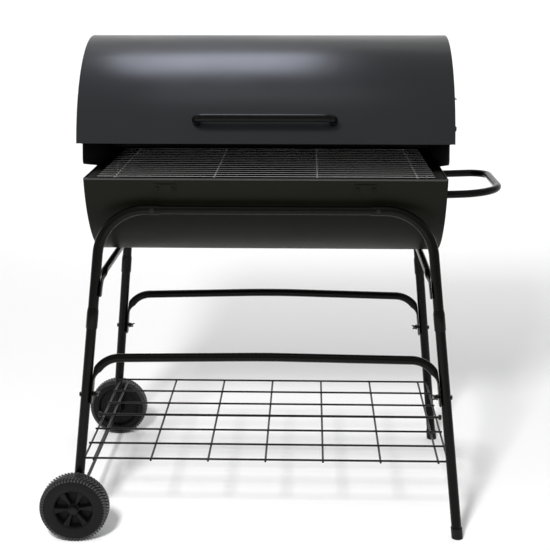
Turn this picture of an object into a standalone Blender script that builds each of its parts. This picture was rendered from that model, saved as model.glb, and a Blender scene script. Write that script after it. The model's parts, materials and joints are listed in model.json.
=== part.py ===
"""Barrel charcoal grill: half-barrel firebox and hinged lid on a splayed tube stand with two wheels.

Metres throughout. X runs along the barrel, Y towards the hinge side, Z up from the floor.
Lid pieces are drawn where they sit when the lid is closed and hang on an empty on the hinge axis.
"""
import math

import bmesh
import bpy
from mathutils import Matrix, Vector

SHEET = 0.0012
GAP = 0.0004

FIREBOX_RADIUS = 0.2410
FIREBOX_HALF_CHORD = 0.2375
FIREBOX_HALF_LENGTH = 0.3866
FIREBOX_END_X = 0.3870
RIM_Z = 0.798
RIM_LIP = 0.010
FIREBOX_CENTRE_Z = RIM_Z + math.sqrt(FIREBOX_RADIUS**2 - FIREBOX_HALF_CHORD**2)

LEDGE_HALF_WIDTH = 0.200
LEDGE_INNER_X = 0.350
LEDGE_TOP_Z = 0.7949
GRATE_ROD_RADIUS = 0.0015
GRATE_ROD_PITCH = 0.0274
GRATE_ROD_COUNT = 16
GRATE_HALF_LENGTH = 0.363
GRATE_Z = 0.797
GRATE_CROSS_X = (0.111, 0.326)
GRATE_CROSS_RADIUS = 0.0025

RAIL_HALF_LENGTH = 0.345
RAIL_LIP_Z = 0.700
TRAY_HALF_LENGTH = 0.340
TRAY_HALF_DEPTH = 0.185
TRAY_WALL = 0.014
PLATE_X = 0.214
PLATE_LENGTH = 0.047
PLATE_HEIGHT = 0.020
PLATE_Z = 0.776
PLATE_BOLT_SPREAD = 0.0165
PLATE_BOLT_RADIUS = 0.0025

LID_RADIUS = 0.261
LID_HALF_LENGTH = 0.400
LID_END_X = 0.3900
LID_CENTRE = Vector((0.0, 0.0107, 0.7895))
LID_FRONT_ANGLE = 179.1
HINGE = Vector((0.0, 0.205, 0.765))
LID_REST_ANGLE = 10.0
CHEEK_FRONT_Y = -0.224
CHEEK_REAR_Y = 0.225
CHEEK_BOTTOM_Z = 0.7510

LID_HANDLE_RADIUS = 0.0085
LID_HANDLE_HALF_WIDTH = 0.1445
LID_HANDLE_REACH = 0.303
LID_HANDLE_ANGLE = 10.8
LID_HANDLE_BEND = 0.020

VENT = Vector((0.3916, -0.112, 0.833))
VENT_RADIUS = 0.068
VENT_HOLE_RADIUS = 0.011
VENT_HOLE_CIRCLE = 0.040
VENT_TAB_ANGLE = 100.0

SIDE_HANDLE_RADIUS = 0.0085
SIDE_HANDLE_Z = 0.7415
SIDE_HANDLE_RISE = 0.036
SIDE_HANDLE_OUT = 0.526
SIDE_HANDLE_Y = (-0.107, 0.170)
SIDE_HANDLE_BENDS = (0.095, 0.047)

LEG_FLOOR_X = 0.4289
LEG_FLOOR_Y = 0.2940
LEG_LEAN_X = 0.1044
LEG_LEAN_Y = 0.0859
LEG_RADIUS = 0.0112
LEG_BEND = 0.107
LEG_END_X = 0.226
CROSSBAR_RADIUS = 0.0096
TUBE_WALL = 0.0015
PRESSED_HALF = 0.0024
CROSSBAR_HALF_LENGTH = 0.260
CROSSBAR_Z = 0.729
CROSSBAR_SCREW_X = 0.242
SLEEVE_RADIUS = 0.0127
SLEEVE_BOTTOM_Z = 0.469
SLEEVE_BORE_Z = 0.507
SLEEVE_TOP_Z = 0.510

STRETCHER_INSET = LEG_RADIUS + GAP + PRESSED_HALF
STRETCHER_END_Z = 0.302
STRETCHER_CORNER_Z = {-1: 0.4025, 1: 0.4060}
STRETCHER_MIDDLE_Z = {-1: 0.4080, 1: 0.4155}
BOLT_Z = 0.321
BOLT_RADIUS = 0.003
BRACE_INSET = STRETCHER_INSET
BRACE_RADIUS = 0.0080
BRACE_END_Z = 0.540
BRACE_TOP_Z = 0.5895

SHELF_WIRE_RADIUS = 0.0024
SHELF_PITCH_Y = 0.0885
SHELF_PITCH_X = 0.12823
SHELF_Z = 0.1697
SHELF_HALF_LENGTH = 0.411
SHELF_HALF_DEPTH = 0.268
SIDE_ROD_X = 0.4075
SIDE_ROD_Z = 0.1646
CENTRE_BAR_Z = 0.1722
CENTRE_BAR_RADIUS = 0.003

WHEEL_RADIUS = 0.076
WHEEL_Z = WHEEL_RADIUS
WHEEL_Y = 0.3194
WHEEL_HALF_WIDTH = 0.019
AXLE_RADIUS = 0.004
AXLE_HALF_LENGTH = 0.340
AXLE_X = -(LEG_FLOOR_X - LEG_LEAN_X * WHEEL_Z)

ORIGIN_X = -(AXLE_X - WHEEL_RADIUS + SIDE_HANDLE_OUT + SIDE_HANDLE_RADIUS) / 2

SIDES = {"left": -1, "right": 1}
ENDS = {"front": -1, "rear": 1}
TO_AXIS = {
    "X": Matrix(((0, 0, 1, 0), (1, 0, 0, 0), (0, 1, 0, 0), (0, 0, 0, 1))),
    "Y": Matrix(((0, 1, 0, 0), (0, 0, 1, 0), (1, 0, 0, 0), (0, 0, 0, 1))),
    "Z": Matrix.Identity(4),
}


def clear_scene():
    for item in list(bpy.data.objects):
        bpy.data.objects.remove(item, do_unlink=True)
    for group in list(bpy.data.collections):
        bpy.data.collections.remove(group)


def new_collection(name):
    group = bpy.data.collections.new(name)
    bpy.context.scene.collection.children.link(group)
    return group


def new_material(name, color, metallic, roughness):
    material = bpy.data.materials.new(name)
    material.use_nodes = True
    shader = material.node_tree.nodes["Principled BSDF"]
    shader.inputs["Base Color"].default_value = (*color, 1.0)
    shader.inputs["Metallic"].default_value = metallic
    shader.inputs["Roughness"].default_value = roughness
    material.diffuse_color = (*color, 1.0)
    return material


clear_scene()
PARTS = new_collection("barrel_grill")
CUTTERS = new_collection("cutters")
LID_ENAMEL = new_material("lid_enamel", (0.050, 0.052, 0.056), 0.1, 0.42)
FIREBOX_ENAMEL = new_material("firebox_enamel", (0.022, 0.022, 0.023), 0.1, 0.45)
TUBE_ENAMEL = new_material("tube_enamel", (0.020, 0.020, 0.022), 0.1, 0.38)
GRATE_CHROME = new_material("grate_chrome", (0.62, 0.62, 0.63), 1.0, 0.22)
SHELF_ENAMEL = new_material("shelf_enamel", (0.030, 0.030, 0.032), 0.1, 0.35)
WHEEL_PLASTIC = new_material("wheel_plastic", (0.018, 0.018, 0.019), 0.0, 0.62)
CAP_PLASTIC = new_material("cap_plastic", (0.020, 0.020, 0.021), 0.0, 0.50)
BLACK_STEEL = new_material("black_steel", (0.035, 0.035, 0.037), 0.6, 0.35)


def new_empty(name, place, parent=None):
    """An empty at a place given in the grill's own frame."""
    empty = bpy.data.objects.new(name, None)
    empty.empty_display_size = 0.05
    PARTS.objects.link(empty)
    empty["home"] = tuple(place)
    empty.parent = parent
    empty.location = Vector(place)
    if parent is not None:
        empty.location -= Vector(parent["home"])
    return empty


ORIGIN = new_empty("grill_origin", (0.0, 0.0, 0.0))
ORIGIN.location.x = ORIGIN_X
LID_HINGE = new_empty("lid_hinge", HINGE, ORIGIN)
LID_HINGE.rotation_euler.x = -math.radians(LID_REST_ANGLE)
VENT_PIVOT = new_empty("vent_pivot", VENT, LID_HINGE)
WHEEL_HUBS = {
    end: new_empty(f"wheel_hub_{end}", (AXLE_X, sign * WHEEL_Y, WHEEL_Z), ORIGIN)
    for end, sign in ENDS.items()
}


def finish(item, material, parent=ORIGIN):
    """Give a piece its material and hang it, with its cutters, on an empty."""
    item.data.materials.clear()
    item.data.materials.append(material)
    item.data.shade_smooth()
    item.data.set_sharp_from_angle(angle=math.radians(30))
    cutters = [modifier.object for modifier in item.modifiers if modifier.type == "BOOLEAN"]
    for piece in [item] + cutters:
        piece.parent = parent
        piece.location = -Vector(parent["home"])
    return item


def mesh_object(name, shape):
    """Turn a bmesh into an object whose faces point outwards."""
    bmesh.ops.remove_doubles(shape, verts=shape.verts, dist=1e-6)
    bmesh.ops.recalc_face_normals(shape, faces=shape.faces)
    mesh = bpy.data.meshes.new(name)
    shape.to_mesh(mesh)
    shape.free()
    item = bpy.data.objects.new(name, mesh)
    PARTS.objects.link(item)
    return item


def solid_from_curve(name, curve, matrix=Matrix.Identity(4)):
    """Convert a curve to a closed mesh object and drop the curve."""
    holder = bpy.data.objects.new(name, curve)
    PARTS.objects.link(holder)
    bpy.context.view_layer.update()
    evaluated = holder.evaluated_get(bpy.context.evaluated_depsgraph_get())
    mesh = bpy.data.meshes.new_from_object(evaluated)
    bpy.data.objects.remove(holder, do_unlink=True)
    shape = bmesh.new()
    shape.from_mesh(mesh)
    bpy.data.meshes.remove(mesh)
    shape.transform(matrix)
    return mesh_object(name, shape)


def bar(name, path, radius, resolution=5):
    """A round bar along a list of points."""
    curve = bpy.data.curves.new(name, "CURVE")
    curve.dimensions = "3D"
    curve.bevel_depth = radius
    curve.bevel_resolution = resolution
    curve.use_fill_caps = True
    spline = curve.splines.new("POLY")
    spline.points.add(len(path) - 1)
    for point, place in zip(spline.points, path):
        point.co = (*place, 1.0)
    return solid_from_curve(name, curve)


def plate(name, outline, holes, axis, start, thickness):
    """A flat plate square to an axis, from start to start plus thickness."""
    curve = bpy.data.curves.new(name, "CURVE")
    curve.dimensions = "2D"
    curve.fill_mode = "BOTH"
    curve.extrude = thickness / 2
    for loop in [outline] + holes:
        spline = curve.splines.new("POLY")
        spline.points.add(len(loop) - 1)
        for point, place in zip(spline.points, loop):
            point.co = (place[0], place[1], 0.0, 1.0)
        spline.use_cyclic_u = True
    lift = Matrix.Translation((0, 0, start + thickness / 2))
    return solid_from_curve(name, curve, TO_AXIS[axis] @ lift)


def folded_sheet(name, outline, half_length, axis="X", side=1):
    """Sheet folded along an axis; outline is one face, side picks which way it thickens."""
    outline = [Vector(point) for point in outline]
    count = len(outline)
    shape = bmesh.new()
    rings = []
    for index, point in enumerate(outline):
        before = outline[max(index - 1, 0)]
        after = outline[min(index + 1, count - 1)]
        normals = []
        for tail, head in ((before, point), (point, after)):
            if tail != head:
                along = (head - tail).normalized()
                normals.append(Vector((-along.y, along.x)) * side)
        normal = sum(normals, Vector((0, 0))).normalized()
        other = point + normal * SHEET / normal.dot(normals[0])
        ring = []
        for flat, reach in ((point, -1), (other, -1), (other, 1), (point, 1)):
            if axis == "X":
                place = (reach * half_length, flat.x, flat.y)
            else:
                place = (flat.x, reach * half_length, flat.y)
            ring.append(shape.verts.new(place))
        rings.append(ring)
    for ring, following in zip(rings, rings[1:]):
        for corner in range(4):
            nearby = (corner + 1) % 4
            shape.faces.new((ring[corner], ring[nearby], following[nearby], following[corner]))
    shape.faces.new(rings[0])
    shape.faces.new(rings[-1])
    return mesh_object(name, shape)


def turned(name, profile, origin, direction, steps=16, hollow=False):
    """A turned piece; profile lists (radius, distance along the direction) pairs."""
    turn = Vector(direction).to_track_quat("Z", "X").to_matrix().to_4x4()
    matrix = Matrix.Translation(Vector(origin)) @ turn
    shape = bmesh.new()
    rings = []
    for radius, height in profile:
        if radius == 0:
            rings.append([shape.verts.new((0, 0, height))] * steps)
            continue
        ring = []
        for step in range(steps):
            angle = 2 * math.pi * step / steps
            place = (radius * math.cos(angle), radius * math.sin(angle), height)
            ring.append(shape.verts.new(place))
        rings.append(ring)
    pairs = list(zip(rings, rings[1:]))
    if hollow:
        pairs.append((rings[-1], rings[0]))
    for ring, following in pairs:
        for step in range(steps):
            nearby = (step + 1) % steps
            corners = (ring[step], ring[nearby], following[nearby], following[step])
            shape.faces.new(list(dict.fromkeys(corners)))
    shape.transform(matrix)
    return mesh_object(name, shape)


def rod(name, start, end, radius, steps=12):
    start = Vector(start)
    length = (Vector(end) - start).length
    profile = ((0, 0), (radius, 0), (radius, length), (0, length))
    return turned(name, profile, start, Vector(end) - start, steps)


def pipe(name, start, end, radius, steps=16):
    """A straight tube, open at both ends."""
    start = Vector(start)
    length = (Vector(end) - start).length
    inner = radius - TUBE_WALL
    profile = ((inner, 0), (radius, 0), (radius, length), (inner, length))
    return turned(name, profile, start, Vector(end) - start, steps, hollow=True)


def press_ends(item, path, radius, flat, blend, across):
    """Squeeze a bar's ends flat along one direction, from each end to flat past the first bend."""
    total = sum((after - before).length for before, after in zip(path, path[1:]))
    reach = [0.0]
    for before, after in zip(path, path[1:]):
        reach.append(reach[-1] + (after - before).length)
    for vertex in item.data.vertices:
        index = min(range(len(path)), key=lambda place: (path[place] - vertex.co).length)
        distance = min(reach[index], total - reach[index]) - reach[1]
        part = min(max((distance - flat) / blend, 0.0), 1.0) ** 2
        if part == 1.0:
            continue
        thin = PRESSED_HALF / radius
        thin += (1 - thin) * part
        wide = 1 + 0.42 * (1 - part)
        before = path[max(index - 1, 0)]
        after = path[min(index + 1, len(path) - 1)]
        along = (after - before).normalized()
        narrow = across - along * across.dot(along)
        narrow.normalize()
        broad = along.cross(narrow)
        offset = vertex.co - path[index]
        moved = along * offset.dot(along)
        moved += narrow * offset.dot(narrow) * thin + broad * offset.dot(broad) * wide
        vertex.co = path[index] + moved


def joined(name, items):
    """One object holding several separate solids."""
    shape = bmesh.new()
    for item in items:
        shape.from_mesh(item.data)
        bpy.data.objects.remove(item, do_unlink=True)
    return mesh_object(name, shape)


def box(name, centre, size, matrix=Matrix.Identity(4)):
    shape = bmesh.new()
    bmesh.ops.create_cube(shape, size=1)
    shape.transform(Matrix.Translation(Vector(centre)) @ matrix @ Matrix.Diagonal((*size, 1)))
    return mesh_object(name, shape)


def combine(item, other, operation):
    PARTS.objects.unlink(other)
    CUTTERS.objects.link(other)
    other.hide_render = True
    other.display_type = "WIRE"
    modifier = item.modifiers.new(other.name, "BOOLEAN")
    modifier.operation = operation
    modifier.solver = "EXACT"
    modifier.object = other


def cut(item, other):
    combine(item, other, "DIFFERENCE")


def unite(item, other):
    combine(item, other, "UNION")


def clear_radius(radius, steps):
    """Corner radius of a round hole that clears a bar of this radius."""
    return (radius + GAP) / math.cos(math.pi / steps)


def circle(centre, radius, steps=24):
    return arc(centre, radius, 0, 360 - 360 / steps, steps - 1)


def arc(centre, radius, start, end, steps):
    points = []
    for step in range(steps + 1):
        angle = math.radians(start + (end - start) * step / steps)
        across = centre[0] + radius * math.cos(angle)
        up = centre[1] + radius * math.sin(angle)
        points.append((across, up))
    return points


def rounded(corners, radii, steps=7):
    """The line through some corners with each inner corner turned on an arc."""
    corners = [Vector(corner) for corner in corners]
    path = [corners[0]]
    for before, corner, after, radius in zip(corners, corners[1:], corners[2:], radii):
        back = (before - corner).normalized()
        ahead = (after - corner).normalized()
        half = back.angle(ahead) / 2
        start = corner + back * radius / math.tan(half)
        centre = corner + (back + ahead).normalized() * radius / math.sin(half)
        spoke = start - centre
        last = corner + ahead * radius / math.tan(half) - centre
        axis = spoke.cross(last).normalized()
        for step in range(steps + 1):
            turn = Matrix.Rotation(spoke.angle(last) * step / steps, 3, axis)
            path.append(centre + turn @ spoke)
    path.append(corners[-1])
    return path


def leg_point(side, end, height, inset=0.0):
    """A point on the axis of a leg, or set in towards the middle from it."""
    across = LEG_FLOOR_X - LEG_LEAN_X * height - inset
    along = LEG_FLOOR_Y - LEG_LEAN_Y * height
    return Vector((side * across, end * along, height))


def firebox_point(across, end, radius, height):
    """A point at a radius from the firebox axis, on the spoke that meets the wall at a height."""
    rise = (height - FIREBOX_CENTRE_Z) / FIREBOX_RADIUS
    run = math.sqrt(1 - rise**2)
    return Vector((across, end * radius * run, FIREBOX_CENTRE_Z + radius * rise))


def lid_point(across, radius):
    """A point on the spoke of the closed lid that carries the handle."""
    angle = math.radians(LID_HANDLE_ANGLE)
    spoke = Vector((0, -math.cos(angle), math.sin(angle)))
    return LID_CENTRE + spoke * radius + Vector((across, 0, 0))


def crossbar_screw_ends(side):
    across = side * CROSSBAR_SCREW_X
    middle = leg_point(1, -1, CROSSBAR_Z).y
    outside = Vector((across, middle - LEG_RADIUS, CROSSBAR_Z))
    inside = Vector((across, -0.2105, CROSSBAR_Z))
    return outside, inside


def plate_bolt_places():
    """Distances along the barrel at which the rail bolts pass through its wall."""
    places = []
    for side in SIDES.values():
        for spread in (-PLATE_BOLT_SPREAD, PLATE_BOLT_SPREAD):
            places.append(side * PLATE_X + spread)
    return places


def plate_bolt_holes(name, end):
    holes = []
    radius = clear_radius(PLATE_BOLT_RADIUS, 12)
    for index, across in enumerate(plate_bolt_places()):
        outer = firebox_point(across, end, FIREBOX_RADIUS + 0.004, PLATE_Z)
        inner = firebox_point(across, end, FIREBOX_RADIUS - 0.020, PLATE_Z)
        holes.append(rod(f"{name}_{index}", outer, inner, radius))
    return holes


def build_firebox_shell():
    rise = math.degrees(math.asin((RIM_Z - FIREBOX_CENTRE_Z) / FIREBOX_RADIUS))
    wall = arc((0, FIREBOX_CENTRE_Z), FIREBOX_RADIUS, -180 - rise, rise, 40)
    lip = FIREBOX_HALF_CHORD - RIM_LIP
    outline = [(-lip, RIM_Z)] + wall + [(lip, RIM_Z)]
    shell = folded_sheet("firebox_shell", outline, FIREBOX_HALF_LENGTH, side=1)
    holes = plate_bolt_holes("shell_hole_front", -1) + plate_bolt_holes("shell_hole_rear", 1)
    for side_name, side in SIDES.items():
        outside, inside = crossbar_screw_ends(side)
        radius = clear_radius(BOLT_RADIUS, 12)
        holes.append(rod(f"shell_hole_{side_name}", outside, inside, radius))
    cut(shell, joined("firebox_shell_holes", holes))
    finish(shell, FIREBOX_ENAMEL)


def build_firebox_end(side_name):
    side = SIDES[side_name]
    radius = FIREBOX_RADIUS + 0.0002
    rise = math.degrees(math.asin((RIM_Z - FIREBOX_CENTRE_Z) / radius))
    outline = arc((0, FIREBOX_CENTRE_Z), radius, -180 - rise, rise, 40)
    hole = circle((HINGE.y, HINGE.z), 0.0045, 16)
    start = FIREBOX_END_X if side > 0 else -FIREBOX_END_X - SHEET
    end = plate(f"firebox_end_{side_name}", outline, [hole], "X", start, SHEET)
    finish(end, FIREBOX_ENAMEL)


def build_grate_ledge(side_name):
    side = SIDES[side_name]
    wall = FIREBOX_END_X - 0.0008
    outline = [(side * LEDGE_INNER_X, LEDGE_TOP_Z), (side * wall, LEDGE_TOP_Z), (side * wall, 0.775)]
    name = f"grate_ledge_{side_name}"
    ledge = folded_sheet(name, outline, LEDGE_HALF_WIDTH, axis="Y", side=-side)
    finish(ledge, FIREBOX_ENAMEL)


def build_tray_rail(end_name):
    end = ENDS[end_name]
    outline = [(0.2285, 0.787), (0.2245, 0.762), (0.1905, RAIL_LIP_Z), (0.165, RAIL_LIP_Z)]
    outline = [(end * across, up) for across, up in outline]
    rail = folded_sheet(f"tray_rail_{end_name}", outline, RAIL_HALF_LENGTH, side=end)
    cut(rail, joined(f"{end_name}_rail_holes", plate_bolt_holes(f"rail_hole_{end_name}", end)))
    finish(rail, FIREBOX_ENAMEL)


def build_rail_plate(end_name, side_name):
    end = ENDS[end_name]
    name = f"rail_plate_{end_name}_{side_name}"
    middle = SIDES[side_name] * PLATE_X
    inner = FIREBOX_RADIUS + GAP
    centre = firebox_point(middle, end, inner + 0.00075, PLATE_Z)
    spoke = firebox_point(0, end, 1, PLATE_Z) - firebox_point(0, end, 0, PLATE_Z)
    lean = Matrix.Rotation(math.atan2(spoke.z, spoke.y), 4, "X")
    item = box(name, centre, (PLATE_LENGTH, 0.0015, PLATE_HEIGHT), lean)
    for index, spread in enumerate((-PLATE_BOLT_SPREAD, PLATE_BOLT_SPREAD)):
        start = firebox_point(middle + spread, end, FIREBOX_RADIUS - 0.013, PLATE_Z)
        wall = 0.0138
        profile = (
            (0, 0),
            (PLATE_BOLT_RADIUS, 0),
            (PLATE_BOLT_RADIUS, wall),
            (0.0045, wall),
            (0.0045, wall + 0.0024),
            (0.0028, wall + 0.0036),
            (0, wall + 0.0036),
        )
        unite(item, turned(f"{name}_bolt_{index}", profile, start, spoke, 12))
    finish(item, BLACK_STEEL)


def build_charcoal_tray():
    floor = RAIL_LIP_Z + GAP
    edge = TRAY_HALF_DEPTH
    wall = floor + TRAY_WALL
    outline = [(-edge, wall), (-edge, floor), (edge, floor), (edge, wall)]
    tray = folded_sheet("charcoal_tray", outline, TRAY_HALF_LENGTH, side=1)
    slots = []
    for row in range(-2, 3):
        for column in range(-4, 5):
            centre = (column * 0.072, row * 0.066, floor)
            slots.append(box(f"tray_slot_{row}_{column}", centre, (0.050, 0.012, 0.010)))
    cut(tray, joined("charcoal_tray_slots", slots))
    finish(tray, FIREBOX_ENAMEL)


def build_cooking_grate():
    half = GRATE_ROD_PITCH * (GRATE_ROD_COUNT - 1) / 2
    rods = []
    for index in range(GRATE_ROD_COUNT):
        along = index * GRATE_ROD_PITCH - half
        start = (-GRATE_HALF_LENGTH, along, GRATE_Z)
        end = (GRATE_HALF_LENGTH, along, GRATE_Z)
        rods.append(rod(f"grate_rod_{index}", start, end, GRATE_ROD_RADIUS, 8))
    grate = joined("cooking_grate", rods)
    drop = GRATE_ROD_RADIUS + GRATE_CROSS_RADIUS - 0.0007
    crosses = []
    for side in SIDES.values():
        for across in GRATE_CROSS_X:
            start = (side * across, -half - 0.004, GRATE_Z - drop)
            end = (side * across, half + 0.004, GRATE_Z - drop)
            crosses.append(rod(f"grate_cross_{side}_{across}", start, end, GRATE_CROSS_RADIUS, 8))
    unite(grate, joined("grate_cross_rods", crosses))
    finish(grate, GRATE_CHROME)


def build_side_handle():
    near, far = SIDE_HANDLE_Y
    start = FIREBOX_END_X + SHEET + GAP
    top = SIDE_HANDLE_Z + SIDE_HANDLE_RISE * (SIDE_HANDLE_OUT - start)
    corners = [
        (start, near, SIDE_HANDLE_Z),
        (SIDE_HANDLE_OUT, near, top),
        (SIDE_HANDLE_OUT, far, top),
        (start, far, SIDE_HANDLE_Z),
    ]
    path = rounded(corners, SIDE_HANDLE_BENDS)
    finish(bar("side_handle", path, SIDE_HANDLE_RADIUS), TUBE_ENAMEL)


def build_lid_shell():
    centre = (LID_CENTRE.y, LID_CENTRE.z)
    outline = arc(centre, LID_RADIUS, 0, LID_FRONT_ANGLE, 48)
    shell = folded_sheet("lid_shell", outline, LID_HALF_LENGTH, side=1)
    holes = []
    for side_name, side in SIDES.items():
        across = side * LID_HANDLE_HALF_WIDTH
        inner = lid_point(across, LID_RADIUS - 0.006)
        outer = lid_point(across, LID_RADIUS + 0.006)
        holes.append(rod(f"lid_hole_{side_name}", inner, outer, clear_radius(0.0025, 12)))
    cut(shell, joined("lid_shell_holes", holes))
    finish(shell, LID_ENAMEL, LID_HINGE)


def lid_end_outline():
    centre = (LID_CENTRE.y, LID_CENTRE.z)
    edge = LID_RADIUS - SHEET - GAP
    front_z = LID_CENTRE.z + LID_RADIUS * math.sin(math.radians(LID_FRONT_ANGLE))
    rise = math.degrees(math.asin((front_z - LID_CENTRE.z) / edge))
    corner = 0.012
    outline = [(CHEEK_FRONT_Y, front_z)]
    middle = (CHEEK_FRONT_Y + corner, CHEEK_BOTTOM_Z + corner)
    outline += arc(middle, corner, 180, 270, 4)
    outline += [(CHEEK_REAR_Y, CHEEK_BOTTOM_Z), (CHEEK_REAR_Y, LID_CENTRE.z)]
    outline += arc(centre, edge, 0, 180 - rise, 48)
    return outline


def vent_holes():
    holes = []
    for quarter in range(4):
        angle = math.radians(45 + 90 * quarter)
        across = VENT.y + VENT_HOLE_CIRCLE * math.cos(angle)
        up = VENT.z + VENT_HOLE_CIRCLE * math.sin(angle)
        holes.append(circle((across, up), VENT_HOLE_RADIUS, 20))
    holes.append(circle((VENT.y, VENT.z), 0.0036, 16))
    return holes


def build_lid_end(side_name):
    side = SIDES[side_name]
    holes = [circle((HINGE.y, HINGE.z), 0.0045, 16)]
    if side > 0:
        holes += vent_holes()
    start = LID_END_X if side > 0 else -LID_END_X - SHEET
    end = plate(f"lid_end_{side_name}", lid_end_outline(), holes, "X", start, SHEET)
    finish(end, LID_ENAMEL, LID_HINGE)


def build_lid_handle():
    half = LID_HANDLE_HALF_WIDTH
    foot = LID_RADIUS + GAP
    corners = [
        lid_point(-half, foot),
        lid_point(-half, LID_HANDLE_REACH),
        lid_point(half, LID_HANDLE_REACH),
        lid_point(half, foot),
    ]
    handle = bar("lid_handle", rounded(corners, (LID_HANDLE_BEND, LID_HANDLE_BEND)), LID_HANDLE_RADIUS)
    bores = []
    for side_name, side in SIDES.items():
        outer = lid_point(side * half, foot + 0.016)
        inner = lid_point(side * half, foot - 0.004)
        bores.append(rod(f"handle_bore_{side_name}", inner, outer, clear_radius(0.0025, 12)))
    cut(handle, joined("lid_handle_bores", bores))
    finish(handle, TUBE_ENAMEL, LID_HINGE)


def build_handle_screw(side_name):
    base = lid_point(SIDES[side_name] * LID_HANDLE_HALF_WIDTH, LID_RADIUS - 0.005)
    ahead = base - LID_CENTRE
    ahead.x = 0
    profile = ((0, 0), (0.005, 0), (0.006, 0.0033), (0.0025, 0.0033), (0.0025, 0.020), (0, 0.020))
    screw = turned(f"handle_screw_{side_name}", profile, base, ahead, 12)
    finish(screw, BLACK_STEEL, LID_HINGE)


def build_hinge_pin(side_name):
    profile = (
        (0, 0.3828),
        (0.007, 0.3828),
        (0.007, 0.3866),
        (0.004, 0.3866),
        (0.004, 0.3916),
        (0.008, 0.3916),
        (0.008, 0.3942),
        (0.006, 0.3956),
        (0, 0.3956),
    )
    pin = turned(f"hinge_pin_{side_name}", profile, HINGE, (SIDES[side_name], 0, 0), 16)
    finish(pin, BLACK_STEEL)


def build_vent_damper():
    disc = plate("vent_damper", circle((VENT.y, VENT.z), VENT_RADIUS, 40), vent_holes(), "X", VENT.x, SHEET)
    angle = math.radians(VENT_TAB_ANGLE)
    reach = VENT_RADIUS - 0.0016
    centre = VENT + Vector((0.0119, reach * math.cos(angle), reach * math.sin(angle)))
    turn = Matrix.Rotation(angle - math.pi / 2, 4, "X")
    unite(disc, box("vent_tab", centre, (0.0230, 0.029, 0.0015), turn))
    finish(disc, LID_ENAMEL, VENT_PIVOT)


def build_vent_screw():
    profile = (
        (0, 0.3862),
        (0.006, 0.3862),
        (0.006, 0.3896),
        (0.003, 0.3896),
        (0.003, 0.3932),
        (0.006, 0.3932),
        (0.006, 0.4165),
        (0.005, 0.4180),
        (0, 0.4180),
    )
    screw = turned("vent_screw", profile, (0, VENT.y, VENT.z), (1, 0, 0), 16)
    finish(screw, BLACK_STEEL, LID_HINGE)


def build_leg_upper(end_name, side_name):
    side, end = SIDES[side_name], ENDS[end_name]
    name = f"leg_upper_{end_name}_{side_name}"
    corner = leg_point(side, end, CROSSBAR_Z)
    start = Vector((side * LEG_END_X, corner.y, CROSSBAR_Z))
    foot = leg_point(side, end, SLEEVE_TOP_Z - 0.010)
    leg = bar(name, rounded([start, corner, foot], (LEG_BEND,), 9), LEG_RADIUS)
    sleeve_top = leg_point(side, end, SLEEVE_TOP_Z)
    sleeve_bottom = leg_point(side, end, SLEEVE_BOTTOM_Z)
    unite(leg, rod(f"{name}_sleeve", sleeve_bottom, sleeve_top, SLEEVE_RADIUS, 20))
    bore_top = leg_point(side, end, SLEEVE_BORE_Z)
    bore_bottom = leg_point(side, end, SLEEVE_BOTTOM_Z - 0.010)
    cut(leg, rod(f"{name}_bore", bore_bottom, bore_top, clear_radius(LEG_RADIUS, 20), 20))
    socket_start = start - Vector((side * 0.010, 0, 0))
    socket_end = start + Vector((side * 0.035, 0, 0))
    radius = clear_radius(CROSSBAR_RADIUS, 20)
    cut(leg, rod(f"{name}_socket", socket_start, socket_end, radius, 20))
    if end < 0:
        across = side * CROSSBAR_SCREW_X
        near = (across, corner.y - 0.020, CROSSBAR_Z)
        far = (across, corner.y + 0.020, CROSSBAR_Z)
        cut(leg, rod(f"{name}_screw_hole", near, far, clear_radius(BOLT_RADIUS, 12)))
    finish(leg, TUBE_ENAMEL)


def build_crossbar(end_name):
    end = ENDS[end_name]
    along = leg_point(1, end, CROSSBAR_Z).y
    start = (-CROSSBAR_HALF_LENGTH, along, CROSSBAR_Z)
    stop = (CROSSBAR_HALF_LENGTH, along, CROSSBAR_Z)
    crossbar = pipe(f"crossbar_{end_name}", start, stop, CROSSBAR_RADIUS)
    if end < 0:
        holes = []
        for side_name, side in SIDES.items():
            near = (side * CROSSBAR_SCREW_X, along - 0.020, CROSSBAR_Z)
            far = (side * CROSSBAR_SCREW_X, along + 0.020, CROSSBAR_Z)
            radius = clear_radius(BOLT_RADIUS, 12)
            holes.append(rod(f"crossbar_hole_{side_name}", near, far, radius))
        cut(crossbar, joined("crossbar_holes", holes))
    finish(crossbar, TUBE_ENAMEL)


def build_crossbar_screw(side_name):
    outside, inside = crossbar_screw_ends(SIDES[side_name])
    start = outside - Vector((0, 0.0042, 0))
    length = (inside - start).length
    profile = (
        (0, 0),
        (0.0035, 0),
        (0.0055, 0.0016),
        (0.0055, 0.0036),
        (BOLT_RADIUS, 0.0036),
        (BOLT_RADIUS, length),
        (0, length),
    )
    screw = turned(f"crossbar_screw_front_{side_name}", profile, start, (0, 1, 0), 12)
    finish(screw, BLACK_STEEL)


def bolt_hole(name, side, end):
    middle = leg_point(side, end, BOLT_Z)
    inner = middle - Vector((side * 0.060, 0, 0))
    outer = middle + Vector((side * 0.040, 0, 0))
    return rod(name, inner, outer, clear_radius(BOLT_RADIUS, 12))


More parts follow.
